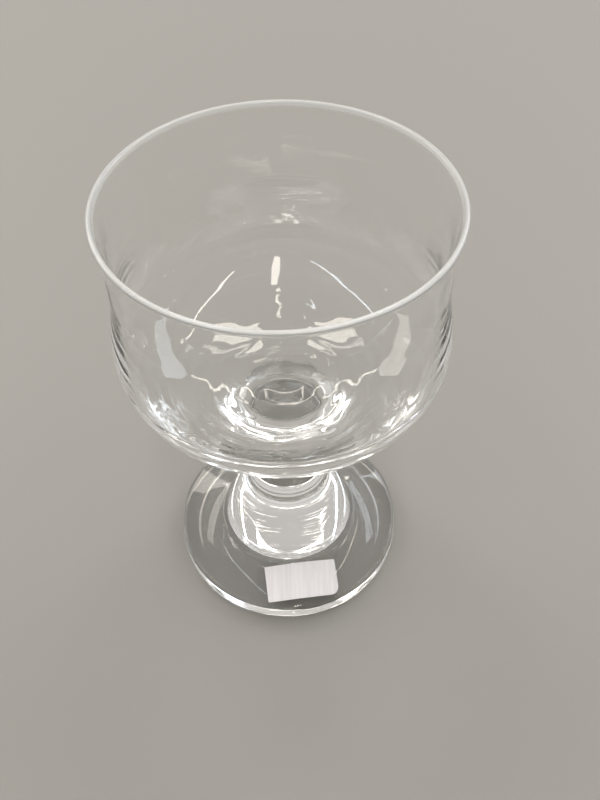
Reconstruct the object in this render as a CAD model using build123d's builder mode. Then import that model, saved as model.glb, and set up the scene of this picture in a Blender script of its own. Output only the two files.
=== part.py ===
"""A short-stemmed goblet in clear glass, with a blank paper label stuck on its foot.

The glass is three gathers that were joined hot: a blown bowl, a solid stem and a pressed foot.
Each is its own solid, and they meet on flat discs. Z is up, and the glass stands on Z = 0.
"""

from build123d import *
import os
from math import radians, sin

os.makedirs("parts", exist_ok=True)

# Driving dimensions, in mm and degrees. Radii are measured from the glass's axis.
height = 130.0
rim_radius = 41.0
lip_wall = 1.4
lip_lean = 14.0

waist_radius = 39.85
waist_z = 111.0
waist_wall = 1.4

belly_radius = 42.3
belly_z = 91.8
belly_wall = 1.8
belly_depth = 27.7
belly_arc = 42.0
floor_z = 72.5

neck_radius = 9.0
neck_z = 50.0

foot_radius = 35.25
base_round = 1.3
side_height = 2.9
edge_round = 1.7
foot_slope = 11.4
cone_length = 12.3
rise_radius = 2.2
stem_slope = 75.0
standing_ring_width = 4.2
kick_height = 3.8
kick_slope = 25.0

label_width = 22.0
label_height = 11.0
label_centre = (3.3, -26.4)
label_turn = 5.5
worn_corner = 2.6
crisp_corner = 0.5
adhesive_thickness = 0.06
paper_thickness = 0.12

# Directions in the radius and height plane of every outline.
up = Vector(0, 1)
outwards = Vector(1, 0)
lip_direction = up.rotate(Axis.Z, -lip_lean)
stem_direction = outwards.rotate(Axis.Z, 180 - stem_slope)
kick_direction = outwards.rotate(Axis.Z, 180 - kick_slope)

lip_round = lip_wall / 2
lip_z = height - lip_round * (1 + sin(radians(lip_lean)))
standing_radius = foot_radius - base_round
side_top = base_round + side_height


def bend(start, start_direction, end, end_direction):
    """A smooth curve between two points that leaves and arrives in these directions."""
    start = Vector(start)
    end = Vector(end)
    reach = (end - start).length / 3
    return Bezier(start, start + start_direction * reach, end - end_direction * reach, end)


def foot_skin(gap=0.0):
    """The foot's rounded upper edge, cone and rise to the stem, at this gap from the glass."""
    edge = JernArc((foot_radius + gap, side_top), up, edge_round + gap, 90 - foot_slope)
    cone = Line(edge @ 1, edge @ 1 + (edge % 1) * cone_length)
    rise = JernArc(cone @ 1, cone % 1, rise_radius - gap, foot_slope - stem_slope)
    return edge, cone, rise


def glued_layer(lower_gap, upper_gap):
    """A label-shaped layer that follows the foot's top between two gaps from the glass."""
    with BuildPart() as layer:
        with BuildSketch(Plane.XZ):
            with BuildLine():
                lower_edge, _, lower_rise = foot_skin(lower_gap)
                upper_edge, _, upper_rise = foot_skin(upper_gap)
                Line(lower_edge @ 0, upper_edge @ 0)
                Line(lower_rise @ 1, upper_rise @ 1)
            make_face()
        revolve(axis=Axis.Z)
        with BuildSketch(Plane.XY.offset(side_top)) as outline:
            with Locations(Location(label_centre, label_turn)):
                Rectangle(label_width, label_height)
            corners = outline.vertices().sort_by(Axis((0, 0, 0), (1, -1, 0)))
            fillet(corners[-1], worn_corner)
            fillet(corners[:-1], crisp_corner)
        extrude(amount=height, mode=Mode.INTERSECT)
    return layer


# The foot: a thick disc with rounded edges and a shallow hollow underneath that ends at an angle
# on the ring it stands on.
with BuildPart() as foot:
    with BuildSketch(Plane.XZ):
        with BuildLine():
            edge, cone, rise = foot_skin()
            base = JernArc((standing_radius, 0), outwards, base_round, 90)
            Line(base @ 1, edge @ 0)
            ring = Line(base @ 0, (standing_radius - standing_ring_width, 0))
            kick = bend(ring @ 1, kick_direction, (0, kick_height), -outwards)
            Polyline(kick @ 1, (0, (rise @ 1).Y), rise @ 1)
        make_face()
    revolve(axis=Axis.Z)
foot.part.label = "foot"

# The stem: a solid trumpet from the foot's rise to the neck, which is its narrowest place.
stem_base = rise @ 1
with BuildPart() as stem:
    with BuildSketch(Plane.XZ):
        with BuildLine():
            side = bend(stem_base, stem_direction, (neck_radius, neck_z), up)
            Polyline(side @ 1, (0, neck_z), (0, stem_base.Y), side @ 0)
        make_face()
    revolve(axis=Axis.Z)
stem.part.label = "stem"

# The bowl: a tulip with a flared lip, a waist, a round belly and a thick floor.
with BuildPart() as bowl:
    with BuildSketch(Plane.XZ):
        with BuildLine():
            belly = EllipticalCenterArc(
                (0, belly_z), belly_radius, belly_depth, start_angle=-belly_arc, arc_size=belly_arc
            )
            bend((neck_radius, neck_z), up, belly @ 0, belly % 0)
            bend(belly @ 1, up, (waist_radius, waist_z), up)
            bend((waist_radius, waist_z), up, (rim_radius, lip_z), lip_direction)
            lip = JernArc((rim_radius, lip_z), lip_direction, lip_round, 180)
            inner_waist = (waist_radius - waist_wall, waist_z)
            inner_belly = (belly_radius - belly_wall, belly_z)
            bend(lip @ 1, -lip_direction, inner_waist, -up)
            bend(inner_waist, -up, inner_belly, -up)
            EllipticalCenterArc(
                (0, belly_z), belly_radius - belly_wall, belly_z - floor_z, start_angle=-90
            )
            Polyline((0, floor_z), (0, neck_z), (neck_radius, neck_z))
        make_face()
    revolve(axis=Axis.Z)
bowl.part.label = "bowl"

# The label: a paper rectangle on a film of adhesive, with one corner worn round.
label_adhesive = glued_layer(0, adhesive_thickness)
label_adhesive.part.label = "label_adhesive"
label_paper = glued_layer(adhesive_thickness, adhesive_thickness + paper_thickness)
label_paper.part.label = "label_paper"

for piece in (bowl, stem, foot, label_adhesive, label_paper):
    export_step(piece.part, f"parts/{piece.part.label}.step")
    size = piece.part.bounding_box().size
    print(piece.part.label, round(piece.part.volume, 1), "mm3, size", size)
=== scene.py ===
"""The looks of the goblet: finely turned glass, a paper label, and a pale studio around them.

Lengths are in metres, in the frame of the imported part: Z is up and the glass stands on Z = 0.
Outlines are lists of (radius, height) points with the glass on their left.
"""
import math

import bpy
from mathutils import Euler, Matrix, Vector, noise


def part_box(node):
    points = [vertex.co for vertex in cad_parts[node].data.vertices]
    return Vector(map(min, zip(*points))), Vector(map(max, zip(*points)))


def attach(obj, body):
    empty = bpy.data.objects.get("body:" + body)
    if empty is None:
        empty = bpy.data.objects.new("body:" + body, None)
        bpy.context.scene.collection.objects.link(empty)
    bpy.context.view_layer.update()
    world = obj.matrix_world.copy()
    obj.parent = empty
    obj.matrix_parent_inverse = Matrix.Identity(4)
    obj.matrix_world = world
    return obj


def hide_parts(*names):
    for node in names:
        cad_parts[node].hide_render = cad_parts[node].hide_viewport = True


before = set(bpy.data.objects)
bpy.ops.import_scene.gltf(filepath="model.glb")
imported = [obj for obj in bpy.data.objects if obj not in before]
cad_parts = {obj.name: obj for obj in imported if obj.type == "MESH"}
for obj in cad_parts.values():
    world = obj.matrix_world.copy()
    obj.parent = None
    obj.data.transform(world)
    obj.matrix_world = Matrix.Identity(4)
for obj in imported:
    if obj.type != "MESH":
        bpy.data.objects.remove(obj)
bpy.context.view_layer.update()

MM = 0.001
ROOT = "root"
UP = Vector((0, 1))
OUT = Vector((1, 0))

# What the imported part's boxes tell about the outline.
foot_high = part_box("foot")[1]
stem_low, stem_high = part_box("stem")
bowl_low, bowl_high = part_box("bowl")
height = bowl_high.z
belly_radius = bowl_high.x
neck_z = bowl_low.z
foot_radius = foot_high.x

# The rest of the bowl's outline.
rim_radius = 41.0 * MM
lip_wall = 1.4 * MM
lip_lean = math.radians(14)
waist_radius = 39.85 * MM
waist_z = 111.0 * MM
waist_wall = 1.4 * MM
belly_z = 91.8 * MM
belly_wall = 1.8 * MM
belly_depth = 27.7 * MM
belly_arc = math.radians(42)
floor_z = 72.5 * MM
neck_radius = 9.0 * MM

# The rest of the foot's and the stem's.
base_round = 1.3 * MM
side_height = 2.9 * MM
edge_round = 1.7 * MM
foot_slope = math.radians(11.4)
cone_length = 12.3 * MM
rise_radius = 2.2 * MM
stem_slope = math.radians(75)
standing_radius = foot_radius - base_round
standing_ring_width = 4.2 * MM
kick_height = 3.8 * MM
kick_slope = math.radians(25)

# The label, as it lies on the foot.
label_width = 22.0 * MM
label_height = 11.0 * MM
label_centre = Vector((3.3, -26.4)) * MM
label_turn = math.radians(5.5)
worn_corner = 2.6 * MM
crisp_corner = 0.5 * MM
adhesive_inset = 0.15 * MM
adhesive_gap = 0.01 * MM
adhesive_top = 0.06 * MM
paper_top = 0.17 * MM

# The unevenness of the glass: slow waves, streaks up the bowl, and rings low on it.
outer_slow_depth = 0.055 * MM
outer_streak_depth = 0.022 * MM
outer_ring_depth = 0.032 * MM
outer_ring_spacing = 4.0 * MM
inner_slow_depth = 0.045 * MM
inner_streak_depth = 0.016 * MM
inner_ring_depth = 0.042 * MM
inner_ring_spacing = 5.4 * MM
stem_wave_depth = 0.06 * MM
foot_dimple_depth = 0.05 * MM

GLASS_IOR = 1.52
GLASS_TINT = (0.99, 0.995, 0.992, 1)

SEGMENTS = 240
SHARP = math.radians(20)


# --- outlines -------------------------------------------------------------------------------------


def turned(direction, angle):
    """A direction turned anticlockwise by an angle."""
    return Matrix.Rotation(angle, 2) @ direction


def bend(start, start_direction, end, end_direction, count):
    """Points on a smooth curve that leaves and arrives in these directions, without the first."""
    reach = (end - start).length / 3
    a = start + start_direction * reach
    b = end - end_direction * reach
    points = []
    for i in range(1, count + 1):
        t = i / count
        s = 1 - t
        points.append(start * s**3 + a * 3 * s * s * t + b * 3 * s * t * t + end * t**3)
    return points


def arc(start, direction, radius, angle, count):
    """Points on an arc that leaves start in this direction, anticlockwise if angle is positive."""
    side = math.copysign(1, angle)
    centre = start + turned(direction, side * math.pi / 2) * radius
    spoke = start - centre
    return [centre + turned(spoke, angle * i / count) for i in range(1, count + 1)]


def ellipse(centre_z, across, deep, start, end, count):
    """Points on an ellipse around the axis, from one angle to another, both included."""
    steps = [start + (end - start) * i / count for i in range(count + 1)]
    return [Vector((across * math.cos(t), centre_z + deep * math.sin(t))) for t in steps]


def straight(start, end, count):
    """Points on a straight line, without the first."""
    return [start.lerp(end, i / count) for i in range(1, count + 1)]


def foot_top():
    """From the top of the foot's side, round its edge and up the cone to the stem."""
    edge = arc(Vector((foot_radius, base_round + side_height)), UP, edge_round,
               math.pi / 2 - foot_slope, 14)
    cone_direction = turned(OUT, math.pi - foot_slope)
    cone = straight(edge[-1], edge[-1] + cone_direction * cone_length, 24)
    rise = arc(cone[-1], cone_direction, rise_radius, foot_slope - stem_slope, 14)
    return edge + cone + rise


def foot_outline():
    """From the middle of the hollow underneath, round the foot's edge, to the stem."""
    ring_inside = Vector((standing_radius - standing_ring_width, 0))
    ring_outside = Vector((standing_radius, 0))
    points = [Vector((0, kick_height))]
    points += bend(points[0], OUT, ring_inside, turned(OUT, -kick_slope), 48)
    points += straight(ring_inside, ring_outside, 6)
    points += arc(ring_outside, OUT, base_round, math.pi / 2, 10)
    points += straight(points[-1], points[-1] + UP * side_height, 5)
    return points + foot_top()


def stem_outline():
    """From the foot to the neck."""
    base = foot_top()[-1]
    direction = turned(OUT, math.pi - stem_slope)
    return [base] + bend(base, direction, Vector((neck_radius, neck_z)), UP, 60)


def bowl_outline():
    """Up the outside from the neck, over the lip and down the inside to the floor's middle."""
    lip_direction = turned(UP, -lip_lean)
    lip_round = lip_wall / 2
    lip_outside = Vector((rim_radius, height - lip_round * (1 + math.sin(lip_lean))))
    belly = ellipse(belly_z, belly_radius, belly_depth, -belly_arc, 0, 48)
    belly_direction = (belly[1] - belly[0]).normalized()
    waist = Vector((waist_radius, waist_z))
    inner_waist = Vector((waist_radius - waist_wall, waist_z))
    inner_belly = Vector((belly_radius - belly_wall, belly_z))
    points = [Vector((neck_radius, neck_z))]
    points += bend(points[0], UP, belly[0], belly_direction, 56)
    points += belly[1:]
    points += bend(belly[-1], UP, waist, UP, 28)
    points += bend(waist, UP, lip_outside, lip_direction, 28)
    points += arc(lip_outside, lip_direction, lip_round, math.pi, 14)
    points += bend(points[-1], -lip_direction, inner_waist, -UP, 28)
    points += bend(inner_waist, -UP, inner_belly, -UP, 28)
    points += ellipse(belly_z, inner_belly.x, belly_z - floor_z, 0, -math.pi / 2, 130)[1:]
    points[-1].x = 0
    return points


# --- the hand-made unevenness of the glass --------------------------------------------------------


def faded(value, low, high):
    """0 up to low, 1 from high, and smooth in between. Falls instead if high is below low."""
    t = min(max((value - low) / (high - low), 0), 1)
    return t * t * (3 - 2 * t)


# A wave says how far a point moves out of the glass.


def bowl_wave(place, normal):
    """Slow waves all over, and rings low down, where the bowl was spun open. The outside only moves
    inwards, so that it stays in the CAD model's box."""
    x, y, z = place
    radius = math.hypot(x, y)
    inside = normal.x < -0.01 or (normal.y > 0.9 and z < belly_z)
    slow = noise.noise(Vector((x, y, z * 0.6)) * 75)
    streak = noise.noise(Vector((x * 260, y * 260, z * 24)))
    warp = 2.6 * noise.noise(Vector((x, y, z)) * 100) + 0.7 * noise.noise(Vector((x, y, z)) * 260)
    lip_free = faded(z, height - 2 * MM, height - 9 * MM)
    if not inside:
        neck_free = faded(z, neck_z + 1 * MM, neck_z + 9 * MM)
        low = faded(z, belly_z - 8 * MM, neck_z + 16 * MM)
        rings = math.sin(2 * math.pi * radius / outer_ring_spacing + 1.6 * warp)
        spun = low * outer_ring_depth * (1 + rings)
        uneven = outer_slow_depth * (1 + slow) + outer_streak_depth * (1 + streak)
        return -lip_free * neck_free * (uneven + spun)
    low = faded(z, belly_z, floor_z + 6 * MM)
    rings = math.sin(2 * math.pi * radius / inner_ring_spacing + 0.8 * warp)
    centre_free = faded(radius, 2 * MM, 7 * MM)
    fading_out = 1 - 0.8 * faded(radius, 12 * MM, 23 * MM)
    spun = low * centre_free * fading_out * inner_ring_depth * rings
    return lip_free * (inner_slow_depth * slow + inner_streak_depth * streak) + spun


def stem_wave(place, normal):
    """A slow wave that leaves the stem's two joints true."""
    x, y, z = place
    free = faded(z, stem_low.z, stem_low.z + 6 * MM) * faded(z, neck_z, neck_z - 6 * MM)
    return free * stem_wave_depth * noise.noise(Vector((x, y, z * 0.5)) * 90)


def foot_wave(place, normal):
    """A dimpled underside and top, but a true side, standing ring and joint."""
    x, y, z = place
    radius = math.hypot(x, y)
    joint_free = faded(radius, stem_high.x, stem_high.x + 3 * MM) if normal.y > 0 else 1
    edge_free = faded(radius, standing_radius, standing_radius - 6 * MM)
    ring_free = faded(z, 0, 1 * MM)
    free = joint_free * edge_free * ring_free
    return free * foot_dimple_depth * noise.noise(Vector((x, y, z)) * 110)


# --- meshes ---------------------------------------------------------------------------------------


def link(name, mesh, *materials):
    """A new object in the scene with these materials."""
    for material in materials:
        mesh.materials.append(material)
    piece = bpy.data.objects.new(name, mesh)
    bpy.context.scene.collection.objects.link(piece)
    return piece


def smooth_mesh(name, vertices, faces):
    """A mesh shaded smooth, but for edges sharper than SHARP."""
    mesh = bpy.data.meshes.new(name)
    mesh.from_pydata(vertices, [], faces)
    mesh.polygons.foreach_set("use_smooth", [True] * len(faces))
    mesh.set_sharp_from_angle(angle=SHARP)
    return mesh


def outline_normals(outline):
    """The direction out of the glass at each point."""
    normals = []
    for i in range(len(outline)):
        along = outline[min(i + 1, len(outline) - 1)] - outline[max(i - 1, 0)]
        normals.append(turned(along.normalized(), -math.pi / 2))
    return normals


def ring_of(vertices, point, normal, wave):
    """Adds an outline point turned around the axis to vertices, and gives its places in them."""
    if point.x < 1e-7:
        vertices.append((0, 0, point.y + wave(Vector((0, 0, point.y)), UP) * normal.y))
        return [len(vertices) - 1]
    first = len(vertices)
    for k in range(SEGMENTS):
        angle = 2 * math.pi * k / SEGMENTS
        spoke = Vector((math.cos(angle), math.sin(angle), 0))
        place = spoke * point.x + Vector((0, 0, point.y))
        out = spoke * normal.x + Vector((0, 0, normal.y))
        vertices.append(place + out * wave(place, normal))
    return list(range(first, first + SEGMENTS))


def turn_solid(name, outline, wave):
    """A closed turned solid: poles where the outline meets the axis, and flat discs elsewhere.
    The discs are joints with the next piece of glass, and get the second material."""
    vertices, faces = [], []
    normals = outline_normals(outline)
    rings = [ring_of(vertices, point, normal, wave) for point, normal in zip(outline, normals)]
    around = [(k, (k + 1) % SEGMENTS) for k in range(SEGMENTS)]
    for lower, upper in zip(rings, rings[1:]):
        for k, n in around:
            if len(lower) == 1:
                faces.append((lower[0], upper[n], upper[k]))
            elif len(upper) == 1:
                faces.append((lower[k], lower[n], upper[0]))
            else:
                faces.append((lower[k], lower[n], upper[n], upper[k]))
    skin_faces = len(faces)
    for ring, facing_down in ((rings[0], True), (rings[-1], False)):
        if len(ring) > 1:
            middle = len(vertices)
            vertices.append((0, 0, vertices[ring[0]][2]))
            faces += [(middle, ring[n], ring[k]) if facing_down else (middle, ring[k], ring[n])
                      for k, n in around]
    mesh = smooth_mesh(name, vertices, faces)
    for polygon in mesh.polygons[skin_faces:]:
        polygon.material_index = 1
    return mesh


def foot_surface(radius):
    """The foot's top at a radius: the point there and the direction out of the glass."""
    outline = foot_top()
    for a, b in zip(outline, outline[1:]):
        if b.x <= radius <= a.x:
            point = a.lerp(b, (a.x - radius) / (a.x - b.x))
            return point, turned((b - a).normalized(), -math.pi / 2)
    raise ValueError(f"the foot has no top at radius {radius}")


def label_rows(inset):
    """The label's outline as rows from bottom to top: each row's height and its two ends."""
    across = label_width / 2 - inset
    along = label_height / 2 - inset
    near_edge = [crisp_corner * i / 6 for i in range(6)]
    heights = [-along + step for step in near_edge]
    heights += [-along + crisp_corner + (2 * along - 2 * crisp_corner) * i / 40 for i in range(41)]
    heights += [along - step for step in reversed(near_edge)]
    rows = []
    for v in heights:
        crisp = max(crisp_corner - (along - abs(v)), 0)
        worn = max(worn_corner - (along + v), 0)
        left = across - crisp_corner + math.sqrt(crisp_corner**2 - crisp**2)
        right = left
        if v < 0:
            right = across - worn_corner + math.sqrt(worn_corner**2 - worn**2)
        rows.append((v, -left, right))
    return rows


def label_sheet(name, inset, lower_gap, upper_gap, wave):
    """A thin sheet in the label's shape that follows the foot between two gaps from its top."""
    columns = 72
    rows = label_rows(inset)
    turn = Matrix.Rotation(label_turn, 2)
    vertices, faces = [], []
    for gap, moves in ((upper_gap, True), (lower_gap, False)):
        for v, left, right in rows:
            for i in range(columns + 1):
                u = left + (right - left) * i / columns
                spot = label_centre + turn @ Vector((u, v))
                point, normal = foot_surface(spot.length)
                lift = gap + (wave(u, v) if moves else 0)
                spoke = spot.normalized()
                at = spoke * (point.x + normal.x * lift)
                vertices.append((at.x, at.y, point.y + normal.y * lift))
    width = columns + 1
    layer = width * len(rows)
    for j in range(len(rows) - 1):
        for i in range(columns):
            a = j * width + i
            faces.append((a, a + 1, a + width + 1, a + width))
            faces.append((layer + a, layer + a + width, layer + a + width + 1, layer + a + 1))
    top = layer - width
    border = list(range(width))
    border += [j * width + columns for j in range(1, len(rows))]
    border += [top + i for i in range(columns - 1, -1, -1)]
    border += [j * width for j in range(len(rows) - 2, 0, -1)]
    for a, b in zip(border, border[1:] + border[:1]):
        faces.append((b, a, layer + a, layer + b))
    return smooth_mesh(name, vertices, faces)


def paper_wave(u, v):
    """The paper's faint cockling."""
    return 0.012 * MM * (noise.noise(Vector((u * 420, v * 160, 3.7))) - 0.6)


def level(u, v):
    """No wave."""
    return 0


# --- materials ------------------------------------------------------------------------------------


def node_material(name):
    """A new material with an empty tree, and its output node."""
    material = bpy.data.materials.new(name)
    material.use_nodes = True
    tree = material.node_tree
    tree.nodes.clear()
    return tree, tree.nodes.new("ShaderNodeOutputMaterial"), material


def spot_of(tree, scale, turn=0.0):
    """Object coordinates, scaled by an amount for each axis."""
    place = tree.nodes.new("ShaderNodeTexCoord")
    mapping = tree.nodes.new("ShaderNodeMapping")
    mapping.inputs["Rotation"].default_value = (0, 0, turn)
    mapping.inputs["Scale"].default_value = scale
    tree.links.new(place.outputs["Object"], mapping.inputs["Vector"])
    return mapping.outputs[0]


def noise_of(tree, scale, detail=3.0, roughness=0.5, turn=0.0, distortion=0.0):
    """Noise over object coordinates."""
    grain = tree.nodes.new("ShaderNodeTexNoise")
    grain.inputs["Scale"].default_value = 1
    grain.inputs["Detail"].default_value = detail
    grain.inputs["Roughness"].default_value = roughness
    grain.inputs["Distortion"].default_value = distortion
    tree.links.new(spot_of(tree, scale, turn), grain.inputs["Vector"])
    return grain.outputs["Fac"]


def ramp_of(tree, source, stops):
    """A source turned into colours: pairs of a position and a colour or grey."""
    ramp = tree.nodes.new("ShaderNodeValToRGB")
    elements = ramp.color_ramp.elements
    while len(elements) < len(stops):
        elements.new(0.5)
    for element, (position, colour) in zip(elements, stops):
        element.position = position
        if not isinstance(colour, tuple):
            colour = (colour, colour, colour)
        element.color = (*colour, 1)
    tree.links.new(source, ramp.inputs[0])
    return ramp.outputs[0]


def combined(tree, operation, a, b):
    """Two values combined by a Math node. b may be a plain number."""
    node = tree.nodes.new("ShaderNodeMath")
    node.operation = operation
    tree.links.new(a, node.inputs[0])
    if isinstance(b, (int, float)):
        node.inputs[1].default_value = b
    else:
        tree.links.new(b, node.inputs[1])
    return node.outputs[0]


def bump_of(tree, source, strength, distance):
    """A bumped normal."""
    bump = tree.nodes.new("ShaderNodeBump")
    bump.inputs["Strength"].default_value = strength
    bump.inputs["Distance"].default_value = distance
    tree.links.new(source, bump.inputs["Height"])
    return bump.outputs[0]


def height_mask(tree, start, end):
    """0 at the first height and 1 from the second."""
    parts = tree.nodes.new("ShaderNodeSeparateXYZ")
    tree.links.new(spot_of(tree, (1, 1, 1)), parts.inputs[0])
    mask = tree.nodes.new("ShaderNodeMapRange")
    mask.inputs["From Min"].default_value = start
    mask.inputs["From Max"].default_value = end
    tree.links.new(parts.outputs["Z"], mask.inputs["Value"])
    return mask.outputs[0]


def scratches(tree, worn_below):
    """Fine crossing scratches where the foot rubs on tables: 0 on clean glass, up to 0.25."""
    along = noise_of(tree, (1500, 45, 30), 4, 0.7, turn=0.9, distortion=0.2)
    across = noise_of(tree, (50, 2600, 30), 4, 0.7, turn=0.35, distortion=0.2)
    both = combined(tree, "MAXIMUM", along, across)
    lines = ramp_of(tree, both, ((0.0, 0.0), (0.60, 0.0), (0.74, 0.25)))
    return combined(tree, "MULTIPLY", lines, height_mask(tree, worn_below, worn_below * 0.8))


def glass_material(name, worn_below=None, painted_highlight_above=None):
    """Clear glass with faint finger smudges, and if asked scratches below a height and a painted
    highlight above one: a dulled lip with a half diffuse, milky white veil that stands in for a bright
    rim line. The scratches dull the surface and cut into it."""
    tree, output, material = node_material(name)
    shader = tree.nodes.new("ShaderNodeBsdfPrincipled")
    shader.inputs["Base Color"].default_value = GLASS_TINT
    shader.inputs["IOR"].default_value = GLASS_IOR
    shader.inputs["Transmission Weight"].default_value = 1
    handled = noise_of(tree, (55, 55, 40), 5, 0.6, distortion=0.6)
    roughness = ramp_of(tree, handled, ((0.0, 0.0), (0.58, 0.0), (0.8, 0.055)))
    relief = noise_of(tree, (160, 160, 60), 2, 0.4)
    if worn_below is not None:
        worn = scratches(tree, worn_below)
        roughness = combined(tree, "MAXIMUM", roughness, worn)
        relief = combined(tree, "SUBTRACT", relief, combined(tree, "MULTIPLY", worn, 4.5))
    if painted_highlight_above is not None:
        # Painted highlight: above this height the lip is dulled and turns half diffuse and milky
        # white, so that it shows as a bright rim line.
        painted_highlight_mask = height_mask(tree, painted_highlight_above, painted_highlight_above + 0.6 * MM)
        roughness = combined(tree, "MAXIMUM", roughness, combined(tree, "MULTIPLY", painted_highlight_mask, 0.22))
        clarity = ramp_of(tree, painted_highlight_mask, ((0.0, 1.0), (1.0, 0.5)))
        tree.links.new(clarity, shader.inputs["Transmission Weight"])
    tree.links.new(roughness, shader.inputs["Roughness"])
    tree.links.new(bump_of(tree, relief, 0.12, 0.1 * MM), shader.inputs["Normal"])
    tree.links.new(shader.outputs[0], output.inputs["Surface"])
    return material


def joint_material():
    """Where two gathers of glass have fused, nothing shows."""
    tree, output, material = node_material("fused_joint")
    clear = tree.nodes.new("ShaderNodeBsdfTransparent")
    tree.links.new(clear.outputs[0], output.inputs["Surface"])
    return material


def paper_material():
    """White paper with faint streaks up and down the label, and fibres."""
    tree, output, material = node_material("label_paper")
    shader = tree.nodes.new("ShaderNodeBsdfPrincipled")
    streaks = noise_of(tree, (900, 45, 45), 3, 0.6, turn=-label_turn)
    fibres = noise_of(tree, (2200, 5200, 3000), 4, 0.7, turn=-label_turn, distortion=0.8)
    blend = combined(tree, "ADD", combined(tree, "MULTIPLY", streaks, 0.72),
                     combined(tree, "MULTIPLY", fibres, 0.28))
    colour = ramp_of(tree, blend, ((0.3, (0.72, 0.69, 0.72)), (0.5, (0.80, 0.77, 0.79)),
                                   (0.7, (0.88, 0.86, 0.87))))
    tree.links.new(colour, shader.inputs["Base Color"])
    rough = ramp_of(tree, fibres, ((0.3, 0.5), (0.7, 0.68)))
    tree.links.new(rough, shader.inputs["Roughness"])
    tree.links.new(bump_of(tree, fibres, 0.35, 0.03 * MM), shader.inputs["Normal"])
    tree.links.new(shader.outputs[0], output.inputs["Surface"])
    return material


def adhesive_material():
    """A dull film of gum with tiny bubbles."""
    tree, output, material = node_material("label_adhesive")
    shader = tree.nodes.new("ShaderNodeBsdfPrincipled")
    bubbles = noise_of(tree, (1800, 1800, 1800), 3, 0.5)
    colour = ramp_of(tree, bubbles, ((0.35, (0.60, 0.58, 0.52)), (0.65, (0.74, 0.72, 0.67))))
    tree.links.new(colour, shader.inputs["Base Color"])
    tree.links.new(ramp_of(tree, bubbles, ((0.3, 0.35), (0.7, 0.55))), shader.inputs["Roughness"])
    tree.links.new(bump_of(tree, bubbles, 0.4, 0.03 * MM), shader.inputs["Normal"])
    tree.links.new(shader.outputs[0], output.inputs["Surface"])
    return material


def stand_for(piece, node):
    """The piece takes a CAD node's place."""
    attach(piece, ROOT)
    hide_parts(node)


joint = joint_material()
# The bowl's lip gets a painted highlight, a milky white veil that stands in for a bright rim line.
bowl_glass = glass_material("bowl_glass", painted_highlight_above=height - 1.5 * MM)
stem_glass = glass_material("stem_glass")
foot_glass = glass_material("foot_glass", worn_below=base_round + side_height)

bowl = link("bowl_turned", turn_solid("bowl", bowl_outline(), bowl_wave), bowl_glass, joint)
stem = link("stem_turned", turn_solid("stem", stem_outline(), stem_wave), stem_glass, joint)
foot = link("foot_turned", turn_solid("foot", foot_outline(), foot_wave), foot_glass, joint)
stand_for(bowl, "bowl")
stand_for(stem, "stem")
stand_for(foot, "foot")

gum_mesh = label_sheet("gum", adhesive_inset, adhesive_gap, adhesive_top, level)
gum = link("label_gum", gum_mesh, adhesive_material())
stand_for(gum, "label_adhesive")
paper_mesh = label_sheet("paper", 0, adhesive_top, paper_top, paper_wave)
paper = link("label_sheet", paper_mesh, paper_material())
stand_for(paper, "label_paper")


# --- studio ---------------------------------------------------------------------------------------


def stage_floor():
    """A plain pale floor, a hair below the glass so that the two surfaces don't coincide."""
    tree, output, material = node_material("floor_matt")
    shader = tree.nodes.new("ShaderNodeBsdfPrincipled")
    shader.inputs["Base Color"].default_value = (0.325, 0.313, 0.295, 1)
    shader.inputs["Roughness"].default_value = 0.55
    tree.links.new(shader.outputs[0], output.inputs["Surface"])
    half = 4.0
    drop = -0.12 * MM
    corners = [(-half, -half, drop), (half, -half, drop), (half, half, drop), (-half, half, drop)]
    mesh = bpy.data.meshes.new("floor")
    mesh.from_pydata(corners, [], [(0, 1, 2, 3)])
    link("floor", mesh, material)


def softbox(name, place, width, depth, brightness, colour, turn=None):
    """A soft area light. Given a turn it lies level and faces down, and without one it faces the
    glass."""
    light = bpy.data.lights.new(name, "AREA")
    light.shape = "RECTANGLE"
    light.size = width
    light.size_y = depth
    light.energy = brightness * math.pi * width * depth
    light.color = colour
    lamp = bpy.data.objects.new(name, light)
    lamp.location = place
    aim = (Vector((0, 0, height / 2)) - lamp.location).to_track_quat("-Z", "Y").to_euler()
    lamp.rotation_euler = aim if turn is None else (0, 0, turn)
    bpy.context.scene.collection.objects.link(lamp)


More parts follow.
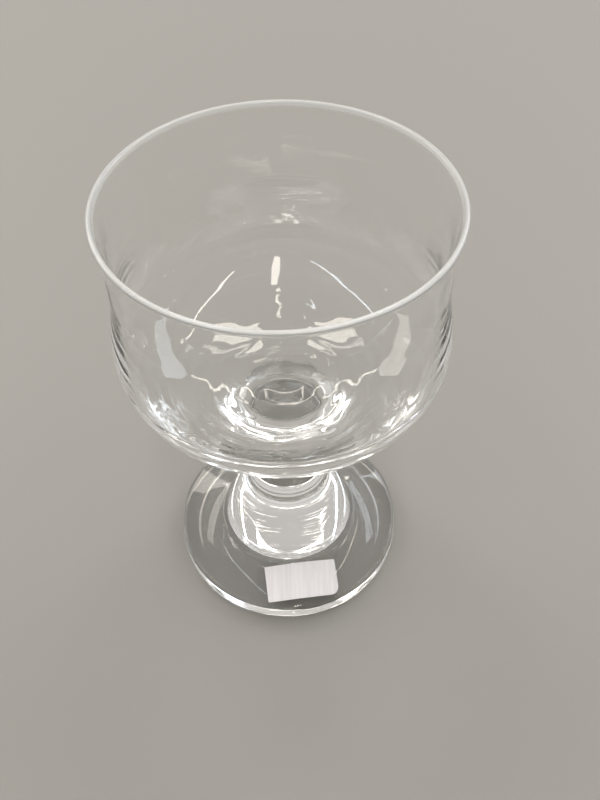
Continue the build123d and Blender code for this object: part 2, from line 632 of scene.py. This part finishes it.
def studio_dome():
    """A plain dome of light, brightest about 20 degrees up and as dim as the floor where they meet."""
    world = bpy.data.worlds.new("studio")
    bpy.context.scene.world = world
    world.use_nodes = True
    tree = world.node_tree
    place = tree.nodes.new("ShaderNodeTexCoord")
    parts = tree.nodes.new("ShaderNodeSeparateXYZ")
    tree.links.new(place.outputs["Generated"], parts.inputs[0])
    heights = ((0.0, (0.31, 0.295, 0.27)), (0.14, (0.60, 0.58, 0.56)), (0.35, (0.72, 0.70, 0.67)),
               (0.75, (0.60, 0.58, 0.55)), (1.0, (0.46, 0.44, 0.42)))
    colour = ramp_of(tree, parts.outputs["Z"], heights)
    tree.links.new(colour, tree.nodes["Background"].inputs["Color"])


stage_floor()
studio_dome()

# The lights near the ceiling, then the two behind the glass that draw the foot's edge.
warm = (1.0, 0.94, 0.85)
cool = (0.85, 0.92, 1.0)
softbox("panel_left", (-0.60, 0.90, 2.20), 0.60, 0.30, 9, warm, 0)
softbox("panel_right", (0.55, 0.90, 2.20), 0.60, 0.30, 9, warm, 0)
softbox("strip_front", (0.10, -1.00, 2.20), 0.12, 1.60, 12, warm, 0)
softbox("strip_left", (-1.10, -0.30, 2.20), 0.06, 2.20, 14, cool, 0.3)
softbox("strip_right", (1.20, 0.20, 2.20), 0.06, 2.20, 14, warm, -0.2)
softbox("strip_back", (0.00, 2.40, 2.20), 2.40, 0.08, 14, warm, 0)
softbox("side_left", (-1.00, 0.85, 0.95), 1.10, 0.34, 4.5, warm)
softbox("side_right", (1.05, 0.80, 0.95), 1.10, 0.34, 4.5, cool)

camera = bpy.data.cameras.new("camera")
camera.sensor_width = 36
camera.lens = 36
camera.clip_start = 0.01
view = bpy.data.objects.new("camera", camera)
bpy.context.scene.collection.objects.link(view)
bpy.context.scene.camera = view
turn = math.radians(1.67)
tilt = math.radians(49.82)
roll = math.radians(-0.67)
view.location = (0, -0.1438, 0.2330)
view.rotation_mode = "QUATERNION"
look = Euler((math.pi / 2 - tilt, 0, -turn), "XYZ").to_matrix() @ Matrix.Rotation(roll, 3, "Z")
view.rotation_quaternion = look.to_quaternion()

bpy.context.scene.view_settings.view_transform = "Standard"
cycles = bpy.context.scene.cycles
cycles.max_bounces = 24
cycles.transmission_bounces = 24
cycles.glossy_bounces = 24
cycles.transparent_max_bounces = 32
